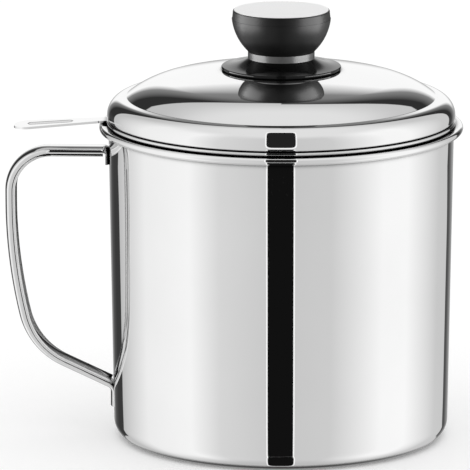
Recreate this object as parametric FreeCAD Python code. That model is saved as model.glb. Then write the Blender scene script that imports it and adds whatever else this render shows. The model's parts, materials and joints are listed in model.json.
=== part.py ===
import FreeCAD, Part
import math
import os

from FreeCAD import Vector

# A stainless grease pot: a drawn cup with a welded channel handle, a lift-out strainer with its own
# strip handle, and a domed lid with a black moulded knob.
# Millimetres and degrees. +Z is up, the origin is the centre of the base, and both handles point to -X.

# Cup: one drawn sheet whose rim is rolled outward.
CUP_SHEET = 0.5
CUP_HEIGHT = 109.4
CUP_MOUTH_RADIUS = 59.35
CUP_WALL_LEAN = 1.65
CUP_CORNER_RADIUS = 6.0
CUP_ROLL_RADIUS = 1.2
CUP_ROLL_REACH = 3.15

# Cup handle: a pressed channel, open towards the cup, whose web ends in two welded tabs.
HANDLE_SHEET = 0.9
HANDLE_WIDTH = 10.0
HANDLE_CROWN_RADIUS = 12.5
HANDLE_CORNER_RADIUS = 1.0
HANDLE_HOLLOW_RADIUS = 0.2
HANDLE_NOSE_RADIUS = 1.3
HANDLE_TOP_DROP = 8.2
HANDLE_STAND_OFF = 35.75
HANDLE_UPPER_CORNER_RADIUS = 15.7
HANDLE_BACK_STRAIGHT = 4.0
HANDLE_BACK_RADIUS = 175.0
HANDLE_LOWER_CORNER_RADIUS = 26.6
HANDLE_LOWER_ARM_ANGLE = 25.1
HANDLE_LOWER_ARM_HEIGHT = 15.1
HANDLE_ARM_DEPTH = 3.4
HANDLE_GRIP_DEPTH = 3.8
HANDLE_UPPER_BEND_RADIUS = 2.7
HANDLE_LOWER_BEND_RADIUS = 1.4
HANDLE_UPPER_TAB_LENGTH = 6.0
HANDLE_LOWER_TAB_LENGTH = 5.0
HANDLE_TAB_THICKNESS = 1.2

# Strainer pan: a drawn pan that hangs in the cup's mouth by its own rolled rim.
PAN_SHEET = 0.4
PAN_DEPTH = 22.6
PAN_CORNER_RADIUS = 5.0
PAN_FLOOR_SLOPE = 8.0
PAN_FLOOR_BEND_RADIUS = 2.0
PAN_RIM_OVERHANG = 0.65
PAN_RIM_ROLL_RADIUS = 0.8
ROLL_TAIL_GAP = 0.15

# Strainer mesh and the crimped ring that holds it under the pan's floor.
MESH_OPENING_INSET = 18.35
MESH_LIP_WIDTH = 4.2
MESH_THICKNESS = 0.4
MESH_SAG = 1.6
RING_SHEET = 0.4
RING_FLANGE_WIDTH = 3.4
RING_BEND_RADIUS = 0.6

# Strainer handle: a strip over the cup's rim, which widens towards its tip and has a pressed rib.
STRIP_SHEET = 0.8
STRIP_NECK_WIDTH = 6.8
STRIP_TIP_WIDTH = 12.8
STRIP_TIP_CORNER_RADIUS = 5.5
STRIP_LENGTH = 29.4
STRIP_SLOPE = 4.0
STRIP_RIM_GAP = 0.2
STRIP_WALL_GAP = 0.15
STRIP_BEND_RADIUS = 1.2
STRIP_KNEE_RADIUS = 8.0
STRIP_TAB_LENGTH = 7.0
STRIP_RIB_WIDTH = 2.4
STRIP_RIB_HEIGHT = 0.45
STRIP_RIB_START = 10.2
STRIP_RIB_END = 5.8
NOTCH_CLEARANCE = 0.4
NOTCH_HEADROOM = 0.15

# Lid: one drawn sheet, from the skirt inside the strainer's rim up to the crown.
LID_SHEET = 0.5
LID_RIM_INSET = 0.2
LID_SEAT_GAP = 0.2
LID_SKIRT_CLEARANCE = 0.5
LID_SKIRT_DEPTH = 4.4
LID_SKIRT_BEND_RADIUS = 0.5
LID_TUCK_RADIUS = 0.8
LID_BAND_HEIGHT = 0.6
LID_SHOULDER_RADIUS = 6.2
LID_SHOULDER_SLOPE = 10.0
LID_SHOULDER_WIDTH = 6.5
LID_CREASE_RADIUS = 0.6
LID_EDGE_RADIUS = 33.3
LID_EDGE_WIDTH = 13.3
LID_CROWN_RADIUS = 188.0
LID_HOLE_RADIUS = 2.75

# Knob: a flared skirt, a metal collar and a bowl-shaped grip with a metal disc on top.
KNOB_SKIRT_RADIUS = 20.6
KNOB_SKIRT_EDGE = 1.1
KNOB_SKIRT_HEIGHT = 2.9
KNOB_SKIRT_SEAT_RADIUS = 9.5
KNOB_SKIRT_GAP = 0.2
KNOB_FLARE_SAG = 0.55
KNOB_COLLAR_RADIUS = 11.45
KNOB_COLLAR_HEIGHT = 2.3
KNOB_NECK_RADIUS = 9.6
KNOB_SLIP_GAP = 0.05
KNOB_GRIP_FOOT_RADIUS = 11.3
KNOB_GRIP_RADIUS = 17.0
KNOB_BOWL_HEIGHT = 11.4
KNOB_BOWL_BULGE = 1.15
KNOB_PARTING_STEP = 0.14
KNOB_BAND_HEIGHT = 2.9
KNOB_BAND_DRAFT = 0.25
KNOB_RIM_ROUNDING = 0.35
KNOB_DISC_RADIUS = 16.2
KNOB_DISC_THICKNESS = 0.6
KNOB_DISC_STAND = 0.1

# Knob fastening: a screw from under the lid into a brass insert.
SCREW_RADIUS = 2.45
SCREW_LENGTH = 14.0
SCREW_HEAD_RADIUS = 4.6
SCREW_HEAD_HEIGHT = 2.8
SCREW_HEAD_ROUNDING = 1.0
SCREW_SLOT_WIDTH = 1.2
SCREW_SLOT_DEPTH = 1.3
THREAD_CLEARANCE = 0.05
BORE_CLEARANCE = 0.3
INSERT_RADIUS = 4.0
INSERT_LENGTH = 8.5
INSERT_GROOVE_DEPTH = 0.4
INSERT_BAND_HEIGHT = 1.7
WASHER_RADIUS = 6.5
WASHER_THICKNESS = 1.0

AXIS = Vector(0, 0, 1)
ORIGIN = Vector(0, 0, 0)
TURNING_SIDE = 1
HANDLE_SIDE = -1
CUT_MARGIN = 1.0
TOUCH = 0.01


def to_space(point, side):
    """Place a (radius, height) point on the half-plane towards +X, or towards -X on the handles' side."""
    return Vector(side * point[0], 0, point[1])


def turned_about(point, centre, angle):
    """Turn a (radius, height) point about a centre."""
    turn = math.radians(angle)
    across = point[0] - centre[0]
    up = point[1] - centre[1]
    return (
        centre[0] + across * math.cos(turn) - up * math.sin(turn),
        centre[1] + across * math.sin(turn) + up * math.cos(turn),
    )


class Stretch:
    """A stretch of a sheet path, which starts at a point with a heading."""

    def __init__(self, start, heading):
        turn = math.radians(heading)
        self.start = start
        self.forward = (math.cos(turn), math.sin(turn))
        self.rightward = (math.sin(turn), -math.cos(turn))

    def beside(self, place, depth):
        """Give the point at a depth from a place, to the right of this stretch's start."""
        return (place[0] + depth * self.rightward[0], place[1] + depth * self.rightward[1])


class Straight(Stretch):
    """A straight stretch."""

    def __init__(self, start, heading, length):
        super().__init__(start, heading)
        self.end = (start[0] + length * self.forward[0], start[1] + length * self.forward[1])

    def at_radius(self, radius):
        """Give the point where this stretch reaches a radius."""
        travel = (radius - self.start[0]) / self.forward[0]
        return (radius, self.start[1] + travel * self.forward[1])

    def edge(self, depth, side):
        """Make the edge that runs beside this stretch at a depth to its right."""
        first = to_space(self.beside(self.start, depth), side)
        return Part.LineSegment(first, to_space(self.beside(self.end, depth), side)).toShape()


class Bend(Stretch):
    """A round stretch, which turns left by a positive angle."""

    def __init__(self, start, heading, radius, angle):
        super().__init__(start, heading)
        self.angle = angle
        self.centre = self.beside(start, -math.copysign(radius, angle))
        self.end = turned_about(start, self.centre, angle)

    def edge(self, depth, side):
        """Make the arc that runs beside this stretch at a depth to its right."""
        first = self.beside(self.start, depth)
        middle = turned_about(first, self.centre, self.angle / 2)
        last = turned_about(first, self.centre, self.angle)
        return Part.Arc(*[to_space(place, side) for place in (first, middle, last)]).toShape()


class SheetPath:
    """One face of a formed sheet in the plane of radius and height, as straights and tangent bends.

    A heading of 0 points outward and one of 90 points up. Depths are measured to the right of the
    direction of travel, and a negative depth lies to the left.
    """

    def __init__(self, radius, height, heading):
        self.point = (radius, height)
        self.heading = heading
        self.stretches = []

    def straight(self, length):
        """Go straight on for a length."""
        self.add(Straight(self.point, self.heading, length))

    def straight_to_radius(self, radius):
        """Go straight on to a radius."""
        self.straight((radius - self.point[0]) / math.cos(math.radians(self.heading)))

    def straight_to_height(self, height):
        """Go straight on to a height."""
        self.straight((height - self.point[1]) / math.sin(math.radians(self.heading)))

    def bend(self, radius, angle):
        """Turn by an angle on an arc of the given radius."""
        self.add(Bend(self.point, self.heading, radius, angle))
        self.heading += angle

    def add(self, stretch):
        """Take a stretch onto the end of the path."""
        self.stretches.append(stretch)
        self.point = stretch.end

    def edges(self, depth, side):
        """Make the edges beside the whole path at one depth."""
        return [stretch.edge(depth, side) for stretch in self.stretches]

    def section(self, depth, side=TURNING_SIDE):
        """Make the face between the path and the line beside it at a depth."""
        near = self.edges(0.0, side)
        far = self.edges(depth, side)
        first_cap = joining_edge(near[0].firstVertex(), far[0].firstVertex())
        last_cap = joining_edge(near[-1].lastVertex(), far[-1].lastVertex())
        return Part.Face(Part.Wire(Part.__sortEdges__(near + far + [first_cap, last_cap])))


def joining_edge(one, other):
    """Make the straight edge between two vertices."""
    return Part.LineSegment(one.Point, other.Point).toShape()


def turned(face):
    """Spin a face about the pot's axis."""
    return face.revolve(ORIGIN, AXIS, 360)


def outline_face(start, steps):
    """Make a face on the turning plane: each step is a corner, or an arc's middle and end."""
    edges = []
    here = to_space(start, TURNING_SIDE)
    for step in steps + [(start,)]:
        places = [to_space(place, TURNING_SIDE) for place in step]
        curve = Part.LineSegment(here, places[0]) if len(places) == 1 else Part.Arc(here, *places)
        edges.append(curve.toShape())
        here = places[-1]
    return Part.Face(Part.Wire(edges))


def bulged_middle(start, end, bulge):
    """Give the middle of an arc that bulges to the right of the line from its start to its end."""
    across = end[0] - start[0]
    up = end[1] - start[1]
    chord = math.hypot(across, up)
    return (
        (start[0] + end[0]) / 2 + bulge * up / chord,
        (start[1] + end[1]) / 2 - bulge * across / chord,
    )


def across_width(face, width):
    """Thicken a face on the handles' plane to a width, equally to both sides."""
    face.translate(Vector(0, -width / 2, 0))
    return face.extrude(Vector(0, width, 0))


# ---- Cup ----


def cup_draft():
    """Give the angle by which the cup's wall leans outward."""
    return math.degrees(math.atan2(CUP_WALL_LEAN, CUP_HEIGHT - CUP_ROLL_RADIUS - CUP_CORNER_RADIUS))


def cup_base_radius():
    """Give the outer radius of the cup's wall where it rises from the round corner."""
    return CUP_MOUTH_RADIUS - CUP_WALL_LEAN


def cup_rim_radius():
    """Give the outer radius of the cup's rolled rim."""
    return CUP_MOUTH_RADIUS + CUP_ROLL_REACH


def cup_wall_radius(height):
    """Give the outer radius of the cup's wall at a height."""
    return cup_base_radius() + (height - CUP_CORNER_RADIUS) * math.tan(math.radians(cup_draft()))


def add_rolled_rim(path, top, roll_radius, outer_radius, tail_radius):
    """Carry a rising path over its top, out to a radius and back under to a tail."""
    rise = roll_radius * (1 - math.cos(math.radians(path.heading)))
    path.straight_to_height(top - rise)
    path.bend(roll_radius, -path.heading)
    path.straight_to_radius(outer_radius - roll_radius)
    path.bend(roll_radius, -180)
    path.straight_to_radius(tail_radius)


def make_cup_body():
    """Draw the cup's shell: flat base, round corner, leaning wall and rolled rim."""
    draft = cup_draft()
    path = SheetPath(0, CUP_SHEET, 0)
    path.straight_to_radius(cup_base_radius() - CUP_CORNER_RADIUS / math.cos(math.radians(draft)))
    path.bend(CUP_CORNER_RADIUS - CUP_SHEET, 90 - draft)
    add_rolled_rim(
        path, CUP_HEIGHT, CUP_ROLL_RADIUS, cup_rim_radius(), CUP_MOUTH_RADIUS + ROLL_TAIL_GAP
    )
    return turned(path.section(CUP_SHEET))


def cup_envelope():
    """Make the cone of the cup's outer wall, which the handle's tabs are formed to."""
    return Part.makeCone(cup_wall_radius(0), cup_wall_radius(CUP_HEIGHT), CUP_HEIGHT)


# ---- Cup handle ----


def handle_reach():
    """Give the distance from the pot's axis to the back of the cup's handle."""
    return CUP_MOUTH_RADIUS + HANDLE_STAND_OFF


def handle_top():
    """Give the height of the upper arm's outer face."""
    return CUP_HEIGHT - HANDLE_TOP_DROP


def tab_depth():
    """Give the depth of the handle's section at its tabs, from the crown's crest to a flat back."""
    return wall_sink(HANDLE_WIDTH / 2, HANDLE_CROWN_RADIUS) + HANDLE_SHEET


def wall_sink(half_width, wall_radius):
    """Give how far a flat face must sink for its edges to reach a round wall."""
    return wall_radius - math.sqrt(wall_radius ** 2 - half_width ** 2)


def back_turn(arm_inset, back_inset):
    """Find how far the handle's back turns before its lower corner begins.

    The corner is tangent to the back and to the lower arm, so its centre lies on a line beside the
    arm, and on a circle about the back's own centre.
    """
    slope = math.radians(HANDLE_LOWER_ARM_ANGLE)
    outward = (math.cos(slope), math.sin(slope))
    start = (
        cup_wall_radius(HANDLE_LOWER_ARM_HEIGHT) - HANDLE_LOWER_CORNER_RADIUS * math.sin(slope),
        HANDLE_LOWER_ARM_HEIGHT + HANDLE_LOWER_CORNER_RADIUS * math.cos(slope),
    )
    back_top = handle_top() - HANDLE_UPPER_CORNER_RADIUS - HANDLE_BACK_STRAIGHT
    back_centre = (handle_reach() - HANDLE_BACK_RADIUS, back_top)
    gap = (start[0] - back_centre[0], start[1] - back_centre[1])
    spread = HANDLE_BACK_RADIUS - back_inset - HANDLE_LOWER_CORNER_RADIUS + arm_inset
    along = gap[0] * outward[0] + gap[1] * outward[1]
    travel = math.sqrt(along ** 2 - gap[0] ** 2 - gap[1] ** 2 + spread ** 2) - along
    centre = (start[0] + travel * outward[0], start[1] + travel * outward[1])
    return math.degrees(math.atan2(back_centre[1] - centre[1], centre[0] - back_centre[0]))


def add_handle_loop(path, arm_inset, back_inset):
    """Carry a path out along the upper arm, down the back and round onto the lower arm."""
    upper_radius = HANDLE_UPPER_CORNER_RADIUS - arm_inset
    turn = back_turn(arm_inset, back_inset)
    path.straight_to_radius(handle_reach() - back_inset - upper_radius)
    path.bend(upper_radius, -90)
    path.straight(HANDLE_BACK_STRAIGHT)
    path.bend(HANDLE_BACK_RADIUS - back_inset, -turn)
    path.bend(HANDLE_LOWER_CORNER_RADIUS - arm_inset, turn + HANDLE_LOWER_ARM_ANGLE - 90)


def handle_path():
    """Trace the crest of the handle's outer face, from the foot of the upper tab to the lower one's."""
    tab_foot = handle_top() - HANDLE_UPPER_TAB_LENGTH
    path = SheetPath(cup_wall_radius(tab_foot) + HANDLE_TAB_THICKNESS - tab_depth(), tab_foot, 90)
    path.straight_to_height(handle_top() - HANDLE_UPPER_BEND_RADIUS)
    path.bend(HANDLE_UPPER_BEND_RADIUS, -90)
    add_handle_loop(path, 0.0, 0.0)
    lower_wall = cup_wall_radius(HANDLE_LOWER_ARM_HEIGHT - HANDLE_LOWER_TAB_LENGTH)
    tab_face = lower_wall + HANDLE_TAB_THICKNESS
    bend_reach = HANDLE_LOWER_BEND_RADIUS * (1 - math.sin(math.radians(HANDLE_LOWER_ARM_ANGLE)))
    path.straight_to_radius(tab_face + bend_reach)
    path.bend(HANDLE_LOWER_BEND_RADIUS, 90 - HANDLE_LOWER_ARM_ANGLE)
    path.straight(HANDLE_LOWER_TAB_LENGTH)
    return path


def crowned_outline(stretch, width, near, far, corner_radius):
    """Make the closed outline of a crowned strip across the start of a stretch, between two depths.

    The crown runs tangent into the round corners, and all crowns share one centre.
    """
    half = width / 2
    crown_radius = HANDLE_CROWN_RADIUS - near
    inset = half - corner_radius
    drop = math.sqrt((crown_radius - corner_radius) ** 2 - inset ** 2)
    tilt = math.atan2(inset, drop)
    half_turn = (tilt + math.pi / 2) / 2
    corner_depth = HANDLE_CROWN_RADIUS - drop

    def place(across, depth):
        return to_space(stretch.beside(stretch.start, depth), HANDLE_SIDE) + Vector(0, across, 0)

    def on_corner(side, angle):
        across = inset + corner_radius * math.sin(angle)
        return place(side * across, corner_depth - corner_radius * math.cos(angle))

    crest = Part.Arc(on_corner(-1, tilt), place(0, near), on_corner(1, tilt))
    edges = [crest.toShape(), Part.LineSegment(place(-half, far), place(half, far)).toShape()]
    for side in (-1, 1):
        corner_end = place(side * half, corner_depth)
        edges.append(Part.Arc(on_corner(side, tilt), on_corner(side, half_turn), corner_end).toShape())
        edges.append(Part.LineSegment(corner_end, place(side * half, far)).toShape())
    return Part.Wire(Part.__sortEdges__(edges))


def swept(outline, stretches):
    """Sweep a closed outline along some stretches on the handles' side."""
    spine = Part.Wire([stretch.edge(0.0, HANDLE_SIDE) for stretch in stretches])
    return spine.makePipeShell([outline], True, False)


def inside_flanges():
    """Make the block inside the free edges of the handle's flanges, which are deeper along the grip."""
    path = SheetPath(cup_wall_radius(handle_top()) - CUT_MARGIN, handle_top() - HANDLE_ARM_DEPTH, 0)
    add_handle_loop(path, HANDLE_ARM_DEPTH, HANDLE_GRIP_DEPTH)
    path.straight_to_radius(cup_wall_radius(HANDLE_LOWER_ARM_HEIGHT) - CUT_MARGIN)
    edges = path.edges(0.0, HANDLE_SIDE)
    closing = joining_edge(edges[-1].lastVertex(), edges[0].firstVertex())
    return across_width(Part.Face(Part.Wire(edges + [closing])), HANDLE_WIDTH + CUT_MARGIN)


def nose_edges(bar, clearing):
    """Find the long edges that a clearing leaves on the two sides of the handle's bar."""
    found = []
    for edge in bar.Edges:
        middle = edge.valueAt((edge.FirstParameter + edge.LastParameter) / 2)
        on_side = abs(middle.y) > HANDLE_WIDTH / 2 - TOUCH
        if on_side and clearing.isInside(middle, TOUCH, True):
            found.append(edge)
    return found


def make_cup_handle():
    """Press the handle: a crowned channel with rounded free edges, and a flat tab at each end."""
    path = handle_path()
    tab_stretches = 2
    grip = path.stretches[tab_stretches:-tab_stretches]
    deepest = HANDLE_GRIP_DEPTH + CUT_MARGIN
    clearing = inside_flanges()
    bar = swept(crowned_outline(grip[0], HANDLE_WIDTH, 0.0, deepest, HANDLE_CORNER_RADIUS), grip)
    bar = bar.cut(clearing)
    bar = bar.makeFillet(HANDLE_NOSE_RADIUS, nose_edges(bar, clearing))
    hollow_outline = crowned_outline(
        grip[0], HANDLE_WIDTH - 2 * HANDLE_SHEET, HANDLE_SHEET, deepest + CUT_MARGIN, HANDLE_HOLLOW_RADIUS
    )
    channel = bar.cut(swept(hollow_outline, grip))
    upper = path.stretches[:tab_stretches]
    lower = path.stretches[-tab_stretches:]
    tabs = [
        swept(crowned_outline(ends[0], HANDLE_WIDTH, 0.0, tab_depth(), HANDLE_CORNER_RADIUS), ends)
        for ends in (upper, lower)
    ]
    return channel.fuse(tabs).cut(cup_envelope()).removeSplitter()


# ---- Strainer ----


def rim_top():
    """Give the height of the top of the strainer's rim, which lies on the cup's."""
    return CUP_HEIGHT + 2 * PAN_RIM_ROLL_RADIUS


def pan_rim_radius():
    """Give the outer radius of the strainer's rolled rim."""
    return CUP_MOUTH_RADIUS + PAN_RIM_OVERHANG


def pan_wall_radius(height):
    """Give the outer radius of the pan's wall, which leaves room for its handle inside the cup."""
    return cup_wall_radius(height) - CUP_SHEET - STRIP_WALL_GAP - STRIP_SHEET


def pan_envelope():
    """Make the cone of the pan's outer wall."""
    return Part.makeCone(pan_wall_radius(0), pan_wall_radius(rim_top()), rim_top())


def mesh_opening_radius():
    """Give the radius of the opening in the pan's floor, under which the mesh lies."""
    return CUP_MOUTH_RADIUS - MESH_OPENING_INSET


def pan_floor():
    """Give the height of the inside of the pan's flat lip."""
    return rim_top() - PAN_DEPTH


def corner_run(start, slope, draft, corner_radius):
    """Find the length of sloping floor that makes the corner after it run tangent into the wall."""
    floor_turn = math.radians(slope)
    wall_turn = math.radians(90 - draft)
    lean = math.tan(math.radians(draft))
    corner_top = start[1] + corner_radius * (math.cos(floor_turn) - math.cos(wall_turn))
    inner_wall = pan_wall_radius(corner_top) - PAN_SHEET / math.cos(math.radians(draft))
    corner_width = corner_radius * (math.sin(wall_turn) - math.sin(floor_turn))
    return (inner_wall - corner_width - start[0]) / (math.cos(floor_turn) - math.sin(floor_turn) * lean)


def strip_top():
    """Give the height of the top of the strainer's handle where it crosses the cup's rim."""
    return CUP_HEIGHT + STRIP_RIM_GAP + STRIP_SHEET


def rim_notch():
    """Make the block that clears the underside of the strainer's rim for its handle."""
    width = STRIP_NECK_WIDTH + 2 * NOTCH_CLEARANCE
    outer = pan_rim_radius() + CUT_MARGIN
    depth = outer - pan_wall_radius(0) + CUT_MARGIN
    bottom = CUP_HEIGHT - CUT_MARGIN
    corner = Vector(-outer, -width / 2, bottom)
    block = Part.makeBox(depth, width, strip_top() + NOTCH_HEADROOM - bottom, corner)
    return block.cut(pan_envelope())


def make_strainer_pan():
    """Draw the strainer's pan: a flat lip round the mesh, a rising floor, a wall and a rolled rim."""
    draft = cup_draft()
    path = SheetPath(mesh_opening_radius(), pan_floor(), 0)
    path.straight(MESH_LIP_WIDTH)
    path.bend(PAN_FLOOR_BEND_RADIUS, PAN_FLOOR_SLOPE)
    corner_radius = PAN_CORNER_RADIUS - PAN_SHEET
    path.straight(corner_run(path.point, PAN_FLOOR_SLOPE, draft, corner_radius))
    path.bend(corner_radius, 90 - draft - PAN_FLOOR_SLOPE)
    tail = pan_wall_radius(rim_top()) + ROLL_TAIL_GAP
    add_rolled_rim(path, rim_top(), PAN_RIM_ROLL_RADIUS, pan_rim_radius(), tail)
    return turned(path.section(PAN_SHEET)).cut(rim_notch())


def ring_radius():
    """Give the outer radius of the ring that clamps the mesh."""
    return mesh_opening_radius() + RING_FLANGE_WIDTH


def make_strainer_mesh():
    """Dish the mesh disc, whose flat edge is clamped as far out as the ring's bend."""
    top = pan_floor() - PAN_SHEET
    opening = mesh_opening_radius()
    lowest = (0, top - MESH_SAG)
    sphere_radius = (opening ** 2 + MESH_SAG ** 2) / (2 * MESH_SAG)
    centre = top - MESH_SAG + sphere_radius
    halfway = opening / 2
    edge = ring_radius() - RING_BEND_RADIUS
    halfway_top = centre - math.sqrt(sphere_radius ** 2 - halfway ** 2)
    return turned(
        outline_face(
            lowest,
            [
                ((halfway, halfway_top), (opening, top)),
                ((edge, top),),
                ((edge, top - MESH_THICKNESS),),
                ((opening, top - MESH_THICKNESS),),
                ((halfway, halfway_top - MESH_THICKNESS), (0, top - MESH_SAG - MESH_THICKNESS)),
            ],
        )
    )


def make_mesh_retaining_ring():
    """Fold the ring that clamps the mesh under the pan's lip."""
    bottom = pan_floor() - PAN_SHEET - MESH_THICKNESS - RING_SHEET
    path = SheetPath(mesh_opening_radius(), bottom, 0)
    path.straight_to_radius(ring_radius() - RING_BEND_RADIUS)
    path.bend(RING_BEND_RADIUS, 90)
    path.straight_to_height(pan_floor() - PAN_SHEET)
    return turned(path.section(-RING_SHEET))


def strip_reach():
    """Give the distance from the pot's axis to the tip of the strainer's handle."""
    return cup_rim_radius() + STRIP_LENGTH


def strip_path():
    """Trace the upper face of the strainer's handle, from its tab on the pan's wall to the tip."""
    draft = cup_draft()
    tab_foot = strip_top() - STRIP_BEND_RADIUS - STRIP_TAB_LENGTH
    wall = pan_wall_radius(tab_foot)
    path = SheetPath(wall - wall_sink(STRIP_NECK_WIDTH / 2, wall), tab_foot, 90 - draft)
    path.straight(STRIP_TAB_LENGTH)
    path.straight_to_height(strip_top() - STRIP_BEND_RADIUS * (1 - math.cos(math.radians(path.heading))))
    path.bend(STRIP_BEND_RADIUS, -path.heading)
    path.straight_to_radius(CUP_MOUTH_RADIUS + CUP_ROLL_RADIUS)
    path.bend(STRIP_KNEE_RADIUS, -STRIP_SLOPE)
    path.straight_to_radius(strip_reach())
    return path


def strip_plan():
    """Make the strip's outline from above: a narrow neck that widens into a rounded tip."""
    reach = strip_reach()
    tip_start = reach - STRIP_TIP_CORNER_RADIUS
    round_middle = STRIP_TIP_CORNER_RADIUS * math.sqrt(0.5)
    half_neck = STRIP_NECK_WIDTH / 2
    half_tip = STRIP_TIP_WIDTH / 2
    half_flat = half_tip - STRIP_TIP_CORNER_RADIUS
    edges = []
    for side in (-1, 1):
        corners = [
            Vector(0, side * half_neck, 0),
            Vector(-cup_rim_radius(), side * half_neck, 0),
            Vector(-tip_start, side * half_tip, 0),
        ]
        edges += Part.makePolygon(corners).Edges
        middle = Vector(-tip_start - round_middle, side * (half_flat + round_middle), 0)
        edges.append(Part.Arc(corners[-1], middle, Vector(-reach, side * half_flat, 0)).toShape())
    for end, half in ((reach, half_flat), (0, half_neck)):
        edges.append(Part.LineSegment(Vector(-end, -half, 0), Vector(-end, half, 0)).toShape())
    return Part.Face(Part.Wire(Part.__sortEdges__(edges))).extrude(Vector(0, 0, rim_top()))


def rib_form(strip, radius, sunk):
    """Make a round-ended bar along the strip, with its axis sunk under the strip's upper face."""
    ends = []
    for place in (cup_rim_radius() + STRIP_RIB_START, strip_reach() - STRIP_RIB_END):
        ends.append(to_space(strip.beside(strip.at_radius(place), sunk), HANDLE_SIDE))
    along = ends[1] - ends[0]
    bar = Part.makeCylinder(radius, along.Length, ends[0], along)
    return bar.fuse([Part.makeSphere(radius, end) for end in ends])


def make_strainer_handle():
    """Form the strainer's handle: a welded tab, a bend over the rim and a strip with a pressed rib."""
    path = strip_path()
    half_rib = STRIP_RIB_WIDTH / 2
    rib_radius = (half_rib ** 2 + STRIP_RIB_HEIGHT ** 2) / (2 * STRIP_RIB_HEIGHT)
    sunk = rib_radius - STRIP_RIB_HEIGHT
    sheet = across_width(path.section(STRIP_SHEET, HANDLE_SIDE), STRIP_TIP_WIDTH + CUT_MARGIN)
    above = across_width(path.section(-STRIP_SHEET, HANDLE_SIDE), STRIP_TIP_WIDTH)
    strip = path.stretches[-1]
    rib = rib_form(strip, rib_radius, sunk).common(above)
    groove = rib_form(strip, rib_radius - STRIP_SHEET, sunk)
    formed = sheet.common(strip_plan()).fuse(rib).cut(groove)
    return formed.cut(pan_envelope()).removeSplitter()


# ---- Lid ----


def lid_radius():
    """Give the outer radius of the lid's band, which stands on the strainer's rim."""
    return pan_rim_radius() - LID_RIM_INSET


def crease_place():
    """Give the radius of the crease between the lid's shoulder and its dome."""
    return lid_radius() - LID_SHOULDER_WIDTH


def crown_place():
    """Give the radius at which the dome's edge runs into its crown."""
    return crease_place() - LID_EDGE_WIDTH


def crown_tilt(radius):
    """Give the slope of the lid's crown at a radius."""
    return math.degrees(math.asin(radius / LID_CROWN_RADIUS))


def edge_tilt():
    """Find the steepest slope of the lid, just inside its crease, so that all its arcs are tangent."""
    shoulder = LID_CREASE_RADIUS * math.sin(math.radians(LID_SHOULDER_SLOPE))
    crown = (LID_CROWN_RADIUS - LID_EDGE_RADIUS) * crown_place() / LID_CROWN_RADIUS
    reach = crease_place() + shoulder - crown
    return math.degrees(math.asin(reach / (LID_EDGE_RADIUS + LID_CREASE_RADIUS)))


def lid_path():
    """Trace the lid's outer face, from the foot of its skirt to the hole in its crown."""
    seat = rim_top() + LID_SEAT_GAP
    skirt_radius = pan_wall_radius(rim_top()) - PAN_SHEET - LID_SKIRT_CLEARANCE
    path = SheetPath(skirt_radius, seat - LID_SKIRT_DEPTH, 90)
    path.straight_to_height(seat - LID_SKIRT_BEND_RADIUS)
    path.bend(LID_SKIRT_BEND_RADIUS, -90)
    path.straight_to_radius(lid_radius() - LID_TUCK_RADIUS)
    path.bend(LID_TUCK_RADIUS, 90)
    path.straight(LID_BAND_HEIGHT)
    path.bend(LID_SHOULDER_RADIUS, 90 - LID_SHOULDER_SLOPE)
    path.straight_to_radius(crease_place())
    path.bend(LID_CREASE_RADIUS, LID_SHOULDER_SLOPE - edge_tilt())
    path.bend(LID_EDGE_RADIUS, edge_tilt() - crown_tilt(crown_place()))
    path.bend(LID_CROWN_RADIUS, crown_tilt(crown_place()) - crown_tilt(LID_HOLE_RADIUS))
    return path


def make_lid_shell():
    """Draw the lid: a skirt, a rounded band, a shoulder with a crease, and a low dome."""
    return turned(lid_path().section(-LID_SHEET))


def crown_centre():
    """Give the height of the centre of the crown's sphere."""
    return lid_path().stretches[-1].centre[1]


def crown_height(radius, gap):
    """Give the height above the base of a surface that follows the crown at a gap above it."""
    return crown_centre() + math.sqrt((LID_CROWN_RADIUS + gap) ** 2 - radius ** 2)


def crown_arc(start_radius, end_radius, gap):
    """Give the middle and the end of an arc that follows the crown at a gap above it."""
    middle = (start_radius + end_radius) / 2
    return ((middle, crown_height(middle, gap)), (end_radius, crown_height(end_radius, gap)))


def collar_bottom():
    """Give the height of the ledge that the knob's collar lies on."""
    return crown_height(0, 0) + KNOB_SKIRT_HEIGHT


def collar_top():
    """Give the height of the top of the knob's collar, where the grip begins."""
    return collar_bottom() + KNOB_COLLAR_HEIGHT


def make_knob_skirt():
    """Mould the knob's flared skirt, with a seat on the crown and a neck up through the collar."""
    bore = SCREW_RADIUS + BORE_CLEARANCE
    seat = KNOB_SKIRT_SEAT_RADIUS
    edge_bottom = crown_height(KNOB_SKIRT_RADIUS, KNOB_SKIRT_GAP)
    round_off = KNOB_SKIRT_EDGE / 2
    edge_middle = (KNOB_SKIRT_RADIUS, edge_bottom + round_off)
    flare_foot = (KNOB_SKIRT_RADIUS - round_off / 2, edge_bottom + KNOB_SKIRT_EDGE)
    flare_top = (KNOB_COLLAR_RADIUS, collar_bottom())
    return turned(
        outline_face(
            (bore, crown_height(bore, 0)),
            [
                crown_arc(bore, seat, 0),
                ((seat, crown_height(seat, KNOB_SKIRT_GAP)),),
                crown_arc(seat, KNOB_SKIRT_RADIUS - round_off / 2, KNOB_SKIRT_GAP),
                (edge_middle, flare_foot),
                (bulged_middle(flare_foot, flare_top, -KNOB_FLARE_SAG), flare_top),
                ((KNOB_NECK_RADIUS, collar_bottom()),),
                ((KNOB_NECK_RADIUS, collar_top()),),
                ((bore, collar_top()),),
            ],
        )
    )


def make_knob_collar():
    """Turn the metal collar round the knob's neck."""
    bore = KNOB_NECK_RADIUS + KNOB_SLIP_GAP
    ring = Part.makeCylinder(KNOB_COLLAR_RADIUS, KNOB_COLLAR_HEIGHT, Vector(0, 0, collar_bottom()))
    return ring.cut(Part.makeCylinder(bore, KNOB_COLLAR_HEIGHT, Vector(0, 0, collar_bottom())))


def band_bottom():
    """Give the height of the parting line at the top of the grip's bowl."""
    return collar_top() + KNOB_BOWL_HEIGHT


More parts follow.
